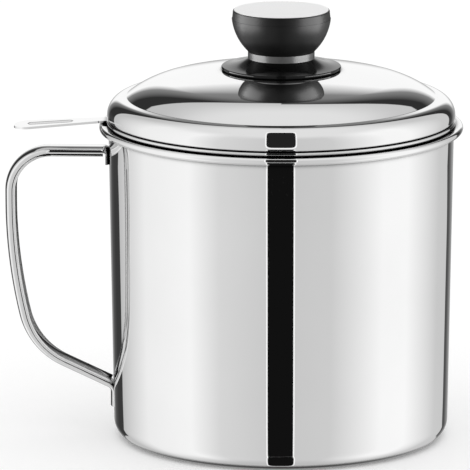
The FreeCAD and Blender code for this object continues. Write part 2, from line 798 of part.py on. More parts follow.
def grip_top():
    """Give the height of the grip's rim."""
    return band_bottom() + KNOB_BAND_HEIGHT


def disc_bottom():
    """Give the height of the floor of the recess for the top disc."""
    return grip_top() + KNOB_DISC_STAND - KNOB_DISC_THICKNESS


def make_knob_grip():
    """Mould the knob's bowl and band, with a recess for the disc and a pocket for the insert."""
    foot = (KNOB_GRIP_FOOT_RADIUS, collar_top())
    bowl_top = (KNOB_GRIP_RADIUS, band_bottom())
    band_radius = KNOB_GRIP_RADIUS - KNOB_PARTING_STEP
    rim_radius = band_radius - KNOB_BAND_DRAFT
    rounding = KNOB_RIM_ROUNDING * (1 - math.sqrt(0.5))
    return turned(
        outline_face(
            (INSERT_RADIUS, collar_top()),
            [
                (foot,),
                (bulged_middle(foot, bowl_top, KNOB_BOWL_BULGE), bowl_top),
                ((band_radius, band_bottom()),),
                ((rim_radius, grip_top() - KNOB_RIM_ROUNDING),),
                (
                    (rim_radius - rounding, grip_top() - rounding),
                    (rim_radius - KNOB_RIM_ROUNDING, grip_top()),
                ),
                ((KNOB_DISC_RADIUS, grip_top()),),
                ((KNOB_DISC_RADIUS, disc_bottom()),),
                ((0, disc_bottom()),),
                ((0, collar_top() + INSERT_LENGTH),),
                ((INSERT_RADIUS, collar_top() + INSERT_LENGTH),),
            ],
        )
    )


def make_knob_top_disc():
    """Stamp the plain disc in the top of the knob."""
    return Part.makeCylinder(KNOB_DISC_RADIUS, KNOB_DISC_THICKNESS, Vector(0, 0, disc_bottom()))


def make_knob_insert():
    """Turn the threaded insert, with a waist between two bands that lock it in the grip."""
    body = Part.makeCylinder(INSERT_RADIUS, INSERT_LENGTH, Vector(0, 0, collar_top()))
    waist_bottom = collar_top() + INSERT_BAND_HEIGHT
    waist_height = INSERT_LENGTH - 2 * INSERT_BAND_HEIGHT
    sleeve = Part.makeCylinder(INSERT_RADIUS, waist_height, Vector(0, 0, waist_bottom))
    waist_radius = INSERT_RADIUS - INSERT_GROOVE_DEPTH
    waist = Part.makeCylinder(waist_radius, waist_height, Vector(0, 0, waist_bottom))
    bore = Part.makeCylinder(SCREW_RADIUS + THREAD_CLEARANCE, INSERT_LENGTH, Vector(0, 0, collar_top()))
    return body.cut(sleeve.cut(waist)).cut(bore)


def washer_top(radius):
    """Give the height of the underside of the crown, which the washer lies against."""
    return crown_height(radius, -LID_SHEET)


def make_screw_washer():
    """Form the washer under the crown."""
    bore = SCREW_RADIUS + BORE_CLEARANCE
    bottom = washer_top(WASHER_RADIUS) - WASHER_THICKNESS
    return turned(
        outline_face(
            (bore, washer_top(bore)),
            [
                crown_arc(bore, WASHER_RADIUS, -LID_SHEET),
                ((WASHER_RADIUS, bottom),),
                ((bore, bottom),),
            ],
        )
    )


def make_knob_screw():
    """Turn the screw: a slotted pan head under the washer and a plain shank up into the insert."""
    seat = washer_top(WASHER_RADIUS) - WASHER_THICKNESS
    head_corner = Vector(0, 0, seat - SCREW_HEAD_HEIGHT)
    head = Part.makeCylinder(SCREW_HEAD_RADIUS, SCREW_HEAD_HEIGHT, head_corner)
    lower_rim = [edge for edge in head.Edges if edge.BoundBox.ZMax < seat - SCREW_HEAD_HEIGHT / 2]
    head = head.makeFillet(SCREW_HEAD_ROUNDING, lower_rim)
    slot = Part.makeBox(
        2 * SCREW_HEAD_RADIUS,
        SCREW_SLOT_WIDTH,
        SCREW_SLOT_DEPTH,
        head_corner - Vector(SCREW_HEAD_RADIUS, SCREW_SLOT_WIDTH / 2, 0),
    )
    shank = Part.makeCylinder(SCREW_RADIUS, SCREW_LENGTH, Vector(0, 0, seat))
    return head.cut(slot).fuse(shank).removeSplitter()


PIECES = {
    "cup_body": make_cup_body,
    "cup_handle": make_cup_handle,
    "strainer_pan": make_strainer_pan,
    "strainer_mesh": make_strainer_mesh,
    "mesh_retaining_ring": make_mesh_retaining_ring,
    "strainer_handle": make_strainer_handle,
    "lid_shell": make_lid_shell,
    "knob_skirt": make_knob_skirt,
    "knob_collar": make_knob_collar,
    "knob_grip": make_knob_grip,
    "knob_top_disc": make_knob_top_disc,
    "knob_insert": make_knob_insert,
    "knob_screw": make_knob_screw,
    "screw_washer": make_screw_washer,
}

os.makedirs("parts", exist_ok=True)
for node, make in PIECES.items():
    make().exportStep(f"parts/{node}.step")
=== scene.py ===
import json
import logging
import math
from dataclasses import dataclass, field
from enum import Enum

import bmesh
import bpy
from mathutils import Matrix, Vector

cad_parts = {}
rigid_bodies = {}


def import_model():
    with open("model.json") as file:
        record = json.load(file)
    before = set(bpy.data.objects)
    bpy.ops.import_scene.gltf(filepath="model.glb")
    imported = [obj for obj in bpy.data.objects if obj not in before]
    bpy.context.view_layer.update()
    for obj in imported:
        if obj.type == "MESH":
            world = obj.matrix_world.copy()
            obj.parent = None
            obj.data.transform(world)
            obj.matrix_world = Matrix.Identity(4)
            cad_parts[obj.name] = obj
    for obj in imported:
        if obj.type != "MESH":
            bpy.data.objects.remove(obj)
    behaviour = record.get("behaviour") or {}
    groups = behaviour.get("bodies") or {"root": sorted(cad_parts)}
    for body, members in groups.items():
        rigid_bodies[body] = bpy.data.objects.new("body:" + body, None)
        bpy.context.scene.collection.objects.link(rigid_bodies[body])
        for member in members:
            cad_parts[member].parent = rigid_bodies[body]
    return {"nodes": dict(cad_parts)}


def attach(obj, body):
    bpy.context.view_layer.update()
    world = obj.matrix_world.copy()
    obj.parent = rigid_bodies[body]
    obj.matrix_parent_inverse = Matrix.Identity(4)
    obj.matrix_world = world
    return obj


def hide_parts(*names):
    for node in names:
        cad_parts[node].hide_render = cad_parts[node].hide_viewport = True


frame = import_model()

LOG = logging.getLogger("grease_pot")
MM = 0.001
QUARTER_TURN = math.radians(90)
HALF_TURN = 180.0
DEGREES = HALF_TURN / math.pi

# The share of the studio's light that the polished steel gives back.
STEEL_LIGHT = 0.92
# The screen tone of the pale hem round each dark studio piece.
HEM_TONE = 250
# Where a noise is read as its darkest and its lightest patches.
PATCH_EDGES = (0.3, 0.7)
# How many rays measure how shut in a place is, for the painted gap shade.
GAP_SHADE_SAMPLES = 8

# The curve from screen tones to linear light.
WHITE_TONE = 255
SCREEN_TOE = 0.04045
SCREEN_TOE_SLOPE = 12.92
SCREEN_OFFSET = 0.055
SCREEN_POWER = 2.4


class Slot(Enum):
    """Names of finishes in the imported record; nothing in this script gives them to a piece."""

    POLISHED_STEEL = "polished_steel"
    MESH_STEEL = "mesh_steel"


def grey(level: float) -> tuple[float, float, float, float]:
    """Give an opaque grey of a linear level."""
    return (level, level, level, 1.0)


def linear(tone: float) -> float:
    """Give the linear level of an 8-bit screen tone."""
    share = tone / WHITE_TONE
    if share <= SCREEN_TOE:
        return share / SCREEN_TOE_SLOPE
    return ((share + SCREEN_OFFSET) / (1 + SCREEN_OFFSET)) ** SCREEN_POWER


def only(thing: bpy.types.Object) -> None:
    """Select one object and make it the active one."""
    bpy.ops.object.select_all(action="DESELECT")
    thing.select_set(True)
    bpy.context.view_layer.objects.active = thing


def show_to_reflections_only(thing: bpy.types.Object) -> None:
    """Hide a studio piece from the camera, the diffuse light and the shadows."""
    thing.visible_camera = False
    thing.visible_diffuse = False
    thing.visible_shadow = False


class NodeSheet:
    """A small helper that lays out and wires the nodes of one material.

    Args:
        name: The material's name.
    """

    def __init__(self, name: str) -> None:
        self.material = bpy.data.materials.new(name)
        self.material.use_nodes = True
        self.tree = self.material.node_tree
        self.tree.nodes.clear()
        self.output = self.tree.nodes.new("ShaderNodeOutputMaterial")

    def add(self, kind: str, **settings: object) -> bpy.types.Node:
        """Add a node.

        Args:
            kind: The node's type name.
            settings: Attributes to set on it.

        Returns:
            The new node.
        """
        node = self.tree.nodes.new(kind)
        for name, value in settings.items():
            setattr(node, name, value)
        return node

    def join(self, source: bpy.types.NodeSocket, target: bpy.types.NodeSocket) -> None:
        """Link one socket to another."""
        self.tree.links.new(source, target)

    def object_place(self) -> bpy.types.NodeSocket:
        """Give the place on the object, in its own metres."""
        return self.add("ShaderNodeTexCoord").outputs["Object"]

    def maths(self, operation: str, first: object, second: object = 0.0) -> bpy.types.NodeSocket:
        """Work out one sum from numbers or sockets.

        Args:
            operation: The sum's name.
            first: A number or a socket.
            second: A number or a socket.

        Returns:
            The result's socket.
        """
        node = self.add("ShaderNodeMath", operation=operation)
        for place, value in enumerate((first, second)):
            self.feed(value, node.inputs[place])
        return node.outputs[0]

    def feed(self, value: object, target: bpy.types.NodeSocket) -> None:
        """Give an input a number or a link."""
        if isinstance(value, (int, float)):
            target.default_value = value
        else:
            self.join(value, target)

    def blend(self, share: object, first: object, second: object) -> bpy.types.NodeSocket:
        """Blend from a first number to a second by a share.

        Args:
            share: The second number's share, as a number or a socket.
            first: A number or a socket.
            second: A number or a socket.

        Returns:
            The blended number's socket.
        """
        node = self.add("ShaderNodeMix", data_type="FLOAT")
        for name, value in (("Factor", share), ("A", first), ("B", second)):
            self.feed(value, node.inputs[name])
        return node.outputs["Result"]

    def smooth(self, value: bpy.types.NodeSocket, start: float, end: float) -> bpy.types.NodeSocket:
        """Climb softly from 0 at a start to 1 at an end."""
        node = self.add("ShaderNodeMapRange", interpolation_type="SMOOTHSTEP")
        node.inputs["From Min"].default_value = start
        node.inputs["From Max"].default_value = end
        self.join(value, node.inputs["Value"])
        return node.outputs["Result"]

    def rounded(self, sides: bpy.types.NodeSocket, ends: bpy.types.NodeSocket, side_power: float,
                end_power: float) -> bpy.types.NodeSocket:
        """Mark the inside of a rounded rectangle.

        Args:
            sides: The share of the half width.
            ends: The share of the half height.
            side_power: How squarely the sides run.
            end_power: How squarely the ends run.

        Returns:
            A socket that is 1 inside and 0 outside.
        """
        powers = [self.maths("POWER", sides, side_power), self.maths("POWER", ends, end_power)]
        return self.maths("LESS_THAN", self.maths("ADD", *powers), 1.0)

    def glow(self, level: bpy.types.NodeSocket, mask: bpy.types.NodeSocket | None = None) -> None:
        """Make the surface shine at a level, and be clear where a mask is 0.

        Args:
            level: The light level.
            mask: Where the surface is there, or None for everywhere.
        """
        light = self.add("ShaderNodeEmission")
        self.join(level, light.inputs["Color"])
        if mask is None:
            self.join(light.outputs[0], self.output.inputs["Surface"])
            return
        clear = self.add("ShaderNodeBsdfTransparent")
        mixed = self.add("ShaderNodeMixShader")
        self.join(mask, mixed.inputs["Fac"])
        self.join(clear.outputs[0], mixed.inputs[1])
        self.join(light.outputs[0], mixed.inputs[2])
        self.join(mixed.outputs[0], self.output.inputs["Surface"])

    def ramp(self, fac: bpy.types.NodeSocket, stops: list[tuple[float, float]]) -> bpy.types.NodeSocket:
        """Grade a factor through grey stops.

        Args:
            fac: The factor, from 0 to 1.
            stops: Pairs of a place and a linear grey level.

        Returns:
            The graded colour's socket.
        """
        node = self.add("ShaderNodeValToRGB")
        marks = node.color_ramp.elements
        marks[0].position, marks[0].color = stops[0][0], grey(stops[0][1])
        marks[1].position, marks[1].color = stops[-1][0], grey(stops[-1][1])
        for place, level in stops[1:-1]:
            marks.new(place).color = grey(level)
        self.join(fac, node.inputs["Fac"])
        return node.outputs["Color"]

    def noise(self, scale: float, detail: float) -> bpy.types.NodeSocket:
        """Make cloudy noise fixed to the object.

        Args:
            scale: The number of clouds in a metre.
            detail: How many finer layers it has.

        Returns:
            The noise factor's socket.
        """
        node = self.add("ShaderNodeTexNoise")
        node.inputs["Scale"].default_value = scale
        node.inputs["Detail"].default_value = detail
        self.join(self.object_place(), node.inputs["Vector"])
        return node.outputs["Fac"]

    def patches(self, fac: bpy.types.NodeSocket, dark: float, light: float) -> bpy.types.NodeSocket:
        """Turn a noise factor into patches between a dark and a light grey."""
        return self.ramp(fac, list(zip(PATCH_EDGES, (dark, light))))

    def spread(self, fac: bpy.types.NodeSocket, low: float, high: float) -> bpy.types.NodeSocket:
        """Map a factor onto a range of numbers."""
        node = self.add("ShaderNodeMapRange")
        node.inputs["To Min"].default_value = low
        node.inputs["To Max"].default_value = high
        self.join(fac, node.inputs["Value"])
        return node.outputs["Result"]

    def painted_gap_shade(self, reach: float, closed: float, open_share: float) -> bpy.types.NodeSocket:
        """Paint shade into narrow gaps: a factor that darkens a colour where other faces close in.

        Args:
            reach: How far off another face still shades this one, in metres.
            closed: The open share of the view at which a gap is fully dark.
            open_share: The open share at which there is no shade.

        Returns:
            A socket that climbs from 0 in a gap to 1 in the open.
        """
        node = self.add("ShaderNodeAmbientOcclusion", samples=GAP_SHADE_SAMPLES)
        node.inputs["Distance"].default_value = reach
        return self.smooth(node.outputs["AO"], closed, open_share)

    def bump(self, height: bpy.types.NodeSocket, depth: float) -> bpy.types.NodeSocket:
        """Make a bumped normal.

        Args:
            height: The height's socket.
            depth: The relief in metres.

        Returns:
            The normal's socket.
        """
        node = self.add("ShaderNodeBump")
        node.inputs["Distance"].default_value = depth
        self.join(height, node.inputs["Height"])
        return node.outputs["Normal"]


@dataclass(frozen=True)
class Metal:
    """A metal with a slightly uneven polish, whose colour can be darkened by painted shade in narrow gaps.
    """

    name: str
    light: float
    dark: float
    smooth: float
    rough: float
    patch_scale: float = 60.0
    wave_scale: float = 0.0
    wave_depth: float = 0.0
    gap_shade_reach: float = 0.0
    gap_shade_range: tuple[float, float] = (0.45, 0.95)
    patch_detail: float = 3.0
    wave_detail: float = 1.0

    def build(self) -> bpy.types.Material:
        """Make the material."""
        sheet = NodeSheet(self.name)
        shader = sheet.add("ShaderNodeBsdfPrincipled")
        shader.inputs["Metallic"].default_value = 1.0
        clouds = sheet.noise(self.patch_scale, self.patch_detail)
        tone = sheet.patches(clouds, self.dark, self.light)
        # Painted shade: the base colour darkens in narrow gaps between parts, such as the seams between the
        # rims.
        if self.gap_shade_reach:
            tone = sheet.maths("MULTIPLY", tone, sheet.painted_gap_shade(self.gap_shade_reach, *self.gap_shade_range))
        sheet.join(tone, shader.inputs["Base Color"])
        sheet.join(sheet.spread(clouds, self.smooth, self.rough), shader.inputs["Roughness"])
        if self.wave_depth:
            waves = sheet.noise(self.wave_scale, self.wave_detail)
            sheet.join(sheet.bump(waves, self.wave_depth), shader.inputs["Normal"])
        sheet.join(shader.outputs["BSDF"], sheet.output.inputs["Surface"])
        return sheet.material


@dataclass(frozen=True)
class TurnedMetal:
    """A metal with fine tool marks round the pot's axis."""

    name: str
    level: float
    smooth: float
    rough: float
    marks_per_metre: float
    mark_depth: float
    on_flat: bool
    mark_detail: float = 2.0
    mark_edges: tuple[float, float] = (0.25, 0.75)
    groove_share: float = 0.9

    def build(self) -> bpy.types.Material:
        """Make the material."""
        sheet = NodeSheet(self.name)
        shader = sheet.add("ShaderNodeBsdfPrincipled")
        shader.inputs["Metallic"].default_value = 1.0
        parts = sheet.add("ShaderNodeSeparateXYZ")
        sheet.join(sheet.object_place(), parts.inputs[0])
        if self.on_flat:
            squares = [sheet.maths("MULTIPLY", parts.outputs[axis], parts.outputs[axis]) for axis in (0, 1)]
            along = sheet.maths("SQRT", sheet.maths("ADD", *squares))
        else:
            along = parts.outputs[2]
        noise = sheet.add("ShaderNodeTexNoise", noise_dimensions="1D")
        noise.inputs["Scale"].default_value = self.marks_per_metre
        noise.inputs["Detail"].default_value = self.mark_detail
        sheet.join(along, noise.inputs["W"])
        marks = noise.outputs["Fac"]
        tones = (self.level * self.groove_share, self.level)
        sheet.join(sheet.ramp(marks, list(zip(self.mark_edges, tones))), shader.inputs["Base Color"])
        sheet.join(sheet.spread(marks, self.smooth, self.rough), shader.inputs["Roughness"])
        sheet.join(sheet.bump(marks, self.mark_depth), shader.inputs["Normal"])
        sheet.join(shader.outputs["BSDF"], sheet.output.inputs["Surface"])
        return sheet.material


@dataclass(frozen=True)
class Moulding:
    """A moulded plastic with a fine grain."""

    name: str
    light: float
    dark: float
    smooth: float
    rough: float
    shine: float
    grain_depth: float
    grain_scale: float = 1500.0
    cloud_scale: float = 90.0
    detail: float = 2.0

    def build(self) -> bpy.types.Material:
        """Make the material."""
        sheet = NodeSheet(self.name)
        shader = sheet.add("ShaderNodeBsdfPrincipled")
        shader.inputs["Specular IOR Level"].default_value = self.shine
        clouds = sheet.noise(self.cloud_scale, self.detail)
        sheet.join(sheet.patches(clouds, self.dark, self.light), shader.inputs["Base Color"])
        sheet.join(sheet.spread(clouds, self.smooth, self.rough), shader.inputs["Roughness"])
        grain = sheet.noise(self.grain_scale, self.detail)
        sheet.join(sheet.bump(grain, self.grain_depth), shader.inputs["Normal"])
        sheet.join(shader.outputs["BSDF"], sheet.output.inputs["Surface"])
        return sheet.material


@dataclass
class SpunShell:
    """A round sheet-steel shell, spun again from its own section, so that it mirrors without facets.

    The number of steps keeps the spun shell inside the solid's own box.
    """

    source: str
    body: str
    steps: int = 238
    reach: float = 0.001 * MM
    crease: float = 30.0

    def section(self) -> bpy.types.Object:
        """Cut a copy of the shell down to its outline on one side of the axis.

        Returns:
            The outline.
        """
        only(frame["nodes"][self.source])
        bpy.ops.object.duplicate()
        outline = bpy.context.object
        bpy.ops.object.parent_clear(type="CLEAR_KEEP_TRANSFORM")
        bpy.ops.object.transform_apply()
        for key in list(outline.keys()):
            del outline[key]
        bpy.ops.object.mode_set(mode="EDIT")
        bpy.ops.mesh.select_all(action="SELECT")
        bpy.ops.mesh.remove_doubles(threshold=self.reach)
        bpy.ops.mesh.bisect(
            plane_co=(0, 0, 0), plane_no=(0, 1, 0), clear_inner=True, clear_outer=True, threshold=self.reach
        )
        points = bmesh.from_edit_mesh(outline.data)
        for point in points.verts:
            point.select_set(point.co.x < 0)
        points.select_flush_mode()
        bmesh.update_edit_mesh(outline.data)
        bpy.ops.mesh.delete(type="VERT")
        return outline

    def build(self, material: bpy.types.Material) -> None:
        """Spin the outline round the pot's axis and put it in the shell's place.

        Args:
            material: The shell's finish.
        """
        shell = self.section()
        bpy.ops.mesh.select_all(action="SELECT")
        bpy.ops.mesh.spin(steps=self.steps, angle=math.tau, center=(0, 0, 0), axis=(0, 0, 1))
        bpy.ops.mesh.select_all(action="SELECT")
        bpy.ops.mesh.remove_doubles(threshold=self.reach)
        bpy.ops.mesh.normals_make_consistent(inside=False)
        bpy.ops.object.mode_set(mode="OBJECT")
        bpy.ops.object.shade_smooth_by_angle(angle=math.radians(self.crease))
        shell.name = f"spun_{self.source}"
        shell.data.materials.clear()
        shell.data.materials.append(material)
        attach(shell, self.body)
        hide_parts(self.source)
        LOG.info("spun %s from %d faces", shell.name, len(shell.data.polygons))


@dataclass
class Pot:
    """Dresses the solids of the pot in their finishes, and spins its round shells anew."""

    steel: Metal = Metal(
        "mirror_steel",
        light=0.93,
        dark=0.90,
        smooth=0.015,
        rough=0.03,
        patch_scale=25.0,
        wave_scale=18.0,
        wave_depth=0.02 * MM,
        # Painted shade darkens the steel in the narrow gaps between the lid, the strainer's rim and the
        # cup's rim.
        gap_shade_reach=2.5 * MM,
    )
    screw_steel: Metal = Metal("plated_steel", light=0.62, dark=0.5, smooth=0.2, rough=0.35)
    brass: Metal = Metal("turned_brass", light=0.62, dark=0.5, smooth=0.15, rough=0.3)
    grip: Moulding = Moulding(
        "satin_phenolic",
        light=0.003,
        dark=0.0015,
        smooth=0.34,
        rough=0.4,
        shine=0.18,
        grain_depth=0.004 * MM,
    )
    skirt: Moulding = Moulding(
        "glossy_phenolic",
        light=0.003,
        dark=0.0015,
        smooth=0.06,
        rough=0.1,
        shine=0.18,
        grain_depth=0.002 * MM,
    )
    collar: TurnedMetal = TurnedMetal(
        "turned_collar",
        level=0.14,
        smooth=0.25,
        rough=0.35,
        marks_per_metre=9000.0,
        mark_depth=0.004 * MM,
        on_flat=False,
    )
    disc: TurnedMetal = TurnedMetal(
        "satin_disc",
        level=1.0,
        smooth=0.25,
        rough=0.4,
        marks_per_metre=12000.0,
        mark_depth=0.003 * MM,
        on_flat=True,
    )
    spun: tuple[tuple[str, str], ...] = (("cup_body", "cup"), ("lid_shell", "lid"))

    def dress(self) -> None:
        """Give each solid that stays its finish, and spin the round shells."""
        steel = self.steel.build()
        screw = self.screw_steel.build()
        finishes = {
            "cup_handle": steel,
            "strainer_pan": steel,
            "mesh_retaining_ring": steel,
            "strainer_handle": steel,
            "knob_skirt": self.skirt.build(),
            "knob_grip": self.grip.build(),
            "knob_collar": self.collar.build(),
            "knob_top_disc": self.disc.build(),
            "knob_insert": self.brass.build(),
            "knob_screw": screw,
            "screw_washer": screw,
        }
        for node, material in finishes.items():
            solid = frame["nodes"][node]
            solid.data.materials.clear()
            solid.data.materials.append(material)
            LOG.info("dressed %s in %s", node, material.name)
        for source, body in self.spun:
            SpunShell(source, body).build(steel)


@dataclass
class WovenMesh:
    """The strainer's mesh: two layers of crimped wires, woven over and under, and dished.

    The wires run under the pan's lip, where the ring clamps them flat.
    """

    finish: Metal = Metal(
        "wire_steel",
        light=0.86,
        dark=0.78,
        smooth=0.08,
        rough=0.16,
        patch_scale=400.0,
        # Painted shade darkens the wires where they cross each other and meet the ring.
        gap_shade_reach=0.6 * MM,
    )
    radius: float = 43.6 * MM
    opening: float = 41.0 * MM
    pitch: float = 1.25 * MM
    wire: float = 0.2 * MM
    wire_sides: int = 4
    plane: float = 87.8 * MM
    sag: float = 1.6 * MM
    spare_cells: int = 3

    def pick(self, wire: bpy.types.Object, parity: int) -> None:
        """Select every other ring of a wire's points.

        Args:
            wire: The wire, in edit mode.
            parity: 0 or 1, for the even or the odd crossings.
        """
        points = bmesh.from_edit_mesh(wire.data)
        for point in points.verts:
            point.select_set(round(point.co.x / self.pitch - 0.5) % 2 == parity)
        points.select_flush_mode()
        bmesh.update_edit_mesh(wire.data)

    def crimp(self) -> bpy.types.Object:
        """Make one long wire along X that passes over and under at its crossings.

        Returns:
            The wire.
        """
        cells = 2 * (math.ceil(self.radius / self.pitch) + self.spare_cells) + 1
        bpy.ops.mesh.primitive_cylinder_add(
            vertices=self.wire_sides,
            radius=self.wire / 2,
            depth=cells * self.pitch,
            rotation=(0, QUARTER_TURN, 0),
        )
        wire = bpy.context.object
        only(wire)
        bpy.ops.object.transform_apply()
        bpy.ops.object.mode_set(mode="EDIT")
        points = bmesh.from_edit_mesh(wire.data)
        for edge in points.edges:
            edge.select_set(edge.calc_length() > self.pitch)
        bmesh.update_edit_mesh(wire.data)
        bpy.ops.mesh.subdivide(number_cuts=cells - 1)
        for parity, height in ((0, self.wire / 2), (1, -self.wire / 2)):
            bpy.ops.mesh.select_all(action="DESELECT")
            self.pick(wire, parity)
            bpy.ops.transform.translate(value=(0, 0, height))
        bpy.ops.object.mode_set(mode="OBJECT")
        return wire

    def trim(self, wire: bpy.types.Object, place: float) -> None:
        """Cut a wire's ends off at the mesh's round edge.

        Args:
            wire: The wire, which runs along X.
            place: How far it lies from the middle.
        """
        half = math.sqrt(self.radius ** 2 - place ** 2)
        bpy.ops.object.mode_set(mode="EDIT")
        for side in (-1, 1):
            bpy.ops.mesh.select_all(action="SELECT")
            bpy.ops.mesh.bisect(
                plane_co=(side * half, place, 0), plane_no=(side, 0, 0), use_fill=True, clear_outer=True
            )
        bpy.ops.object.mode_set(mode="OBJECT")

    def lay(self) -> bpy.types.Object:
        """Lay the first layer of wires side by side, each a crossing out of step with the next.

        Returns:
            The layer.
        """
        source = self.crimp()
        wires = []
        half_count = int(self.radius / self.pitch)
        for number in range(-half_count, half_count):
            place = (number + 0.5) * self.pitch
            only(source)
            bpy.ops.object.duplicate()
            wire = bpy.context.object
            bpy.ops.transform.translate(value=(number % 2 * self.pitch, place, 0))
            bpy.ops.object.transform_apply()
            self.trim(wire, place)
            wires.append(wire)
        bpy.data.objects.remove(source)
        only(wires[0])
        for wire in wires:
            wire.select_set(True)
        bpy.ops.object.join()
        return wires[0]

    def dish(self, mesh: bpy.types.Object) -> None:
        """Press the middle of the mesh down, in a curve that ends at the pan's opening.

        Args:
            mesh: The flat mesh.
        """
        only(mesh)
        bpy.ops.object.mode_set(mode="EDIT")
        bpy.ops.mesh.select_all(action="DESELECT")
        points = bmesh.from_edit_mesh(mesh.data)
        points.verts.ensure_lookup_table()
        middle = min(points.verts, key=lambda point: point.co.xy.length)
        middle.select_set(True)
        points.select_flush_mode()
        bmesh.update_edit_mesh(mesh.data)
        bpy.ops.transform.translate(
            value=(0, 0, -self.sag),
            use_proportional_edit=True,
            proportional_edit_falloff="INVERSE_SQUARE",
            proportional_size=self.opening,
        )
        bpy.ops.object.mode_set(mode="OBJECT")

    def build(self) -> None:
        """Weave the mesh and put it in the strainer."""
        first = self.lay()
        only(first)
        bpy.ops.object.duplicate()
        second = bpy.context.object
        bpy.ops.transform.rotate(value=QUARTER_TURN, orient_axis="Z", center_override=(0, 0, 0))
        bpy.ops.object.transform_apply()
        only(first)
        second.select_set(True)
        bpy.ops.object.join()
        self.dish(first)
        only(first)
        bpy.ops.transform.translate(value=(0, 0, self.plane))
        bpy.ops.object.transform_apply()
        first.name = "woven_mesh"
        first.data.materials.append(self.finish.build())
        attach(first, "strainer")
        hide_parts("strainer_mesh")
        LOG.info("wove %s from %d faces", first.name, len(first.data.polygons))


@dataclass(frozen=True)
class Flag:
    """A dark strip of the tent with a pale hem, which runs along the arc over or under the pot.

    It keeps one width in the mirror of a round wall: at each place its half width is its girth times
    the sum of its lift and the cosine of the place. Places along the arc are degrees up from the front
    horizon, past 90 at the zenith.
    """

    start: float
    end: float
    girth: float
    tone: float
    roundness: float
    lift: float = 0.98
    least_reach: float = 0.001
    hem: float = 1.09

    def paint(self, sheet: NodeSheet, level: bpy.types.NodeSocket, place: bpy.types.NodeSocket,
              across: bpy.types.NodeSocket) -> bpy.types.NodeSocket:
        """Paint the strip over a level.

        Args:
            sheet: The tent's nodes.
            level: The light level to paint over.
            place: The radians along the arc.
            across: The share of the tent's radius to one side of the arc.

        Returns:
            The painted level's socket.
        """
        reach = sheet.maths("ADD", sheet.maths("COSINE", place), self.lift)
        reach = sheet.maths("MAXIMUM", reach, self.least_reach)
        half_width = sheet.maths("MULTIPLY", reach, self.girth)
        sides = sheet.maths("DIVIDE", sheet.maths("ABSOLUTE", across), half_width)
        middle = math.radians(self.start + self.end) / 2
        half_length = math.radians(self.end - self.start) / 2
        ends = sheet.maths("ABSOLUTE", sheet.maths("SUBTRACT", place, middle))
        ends = sheet.maths("DIVIDE", ends, half_length)
        powers = [sheet.maths("POWER", share, self.roundness) for share in (sides, ends)]
        reach = sheet.maths("POWER", sheet.maths("ADD", *powers), 1 / self.roundness)
        hemmed = sheet.blend(sheet.maths("LESS_THAN", reach, self.hem), level, linear(HEM_TONE))
        return sheet.blend(sheet.maths("LESS_THAN", reach, 1.0), hemmed, linear(self.tone))


@dataclass(frozen=True)
class Opening:
    """The bright opening in the tent behind the pot, inside a soft dark frame.

    Sizes are degrees to either side of straight behind, and degrees up from the horizon. Tones run
    outward from the opening's middle, at shares of its size. The haze and the sill are the heights
    between which one set of tones gives way to the next.
    """

    frame_half_widths: tuple[float, float] = (37.0, 35.3)
    sill_half_widths: tuple[float, float] = (39.8, 29.8)
    left_frame_head: float = 45.0
    right_frame_head: float = 47.5
    frame_squareness: float = 3.0
    frame_edge: tuple[float, float] = (0.96, 1.04)
    frame_foot: tuple[float, float] = (-24.0, -23.0)
    left_half_width: float = 15.5
    right_half_width: float = 18.5
    head: float = 31.0
    tones: tuple[tuple[float, float], ...] = ((0.86, 246), (1.1, 130), (1.6, 46))
    ramp_reach: float = 2.0
    haze: tuple[float, float] = (5.0, -5.0)
    haze_tones: tuple[tuple[float, float], ...] = ((0.6, 172), (0.9, 156), (1.55, 62))
    sill: tuple[float, float] = (-9.5, -11.5)
    sill_tones: tuple[tuple[float, float], ...] = ((0.35, 170), (0.95, 128), (1.3, 82), (1.9, 57))

    def paint(self, sheet: NodeSheet, level: bpy.types.NodeSocket, turn: bpy.types.NodeSocket,
              rise: bpy.types.NodeSocket) -> bpy.types.NodeSocket:
        """Paint the opening and its frame over a level.

        Args:
            sheet: The tent's nodes.
            level: The light level to paint over.
            turn: The degrees round the tent from the camera.
            rise: The degrees up from the horizon.

        Returns:
            The painted level's socket.
        """
        aside = sheet.maths("SUBTRACT", HALF_TURN, sheet.maths("ABSOLUTE", turn))
        height = sheet.maths("MAXIMUM", rise, 0.0)
        rightward = sheet.maths("GREATER_THAN", turn, 0.0)
        frame_head = sheet.blend(rightward, self.left_frame_head, self.right_frame_head)
        below = sheet.smooth(rise, *self.sill)
        frame_sides = (
            sheet.blend(rightward, *widths) for widths in (self.frame_half_widths, self.sill_half_widths)
        )
        frame_half_width = sheet.blend(below, *frame_sides)
        frame_shares = [
            sheet.maths("POWER", sheet.maths("DIVIDE", value, size), self.frame_squareness)
            for value, size in ((aside, frame_half_width), (height, frame_head))
        ]
        inside = sheet.smooth(sheet.maths("ADD", *frame_shares), *reversed(self.frame_edge))
        inside = sheet.maths("MULTIPLY", inside, sheet.smooth(rise, *self.frame_foot))
        half_width = sheet.blend(rightward, self.left_half_width, self.right_half_width)
        shares = [sheet.maths("DIVIDE", aside, half_width), sheet.maths("DIVIDE", height, self.head)]
        squares = [sheet.maths("MULTIPLY", share, share) for share in shares]
        distance = sheet.maths("SQRT", sheet.maths("ADD", *squares))
        place = sheet.maths("DIVIDE", distance, self.ramp_reach)
        ramps = [
            sheet.ramp(place, [(share / self.ramp_reach, linear(tone)) for share, tone in stops])
            for stops in (self.tones, self.haze_tones, self.sill_tones)
        ]
        own = sheet.blend(sheet.smooth(rise, *self.haze), ramps[0], ramps[1])
        own = sheet.blend(below, own, ramps[2])
        return sheet.blend(inside, level, own)


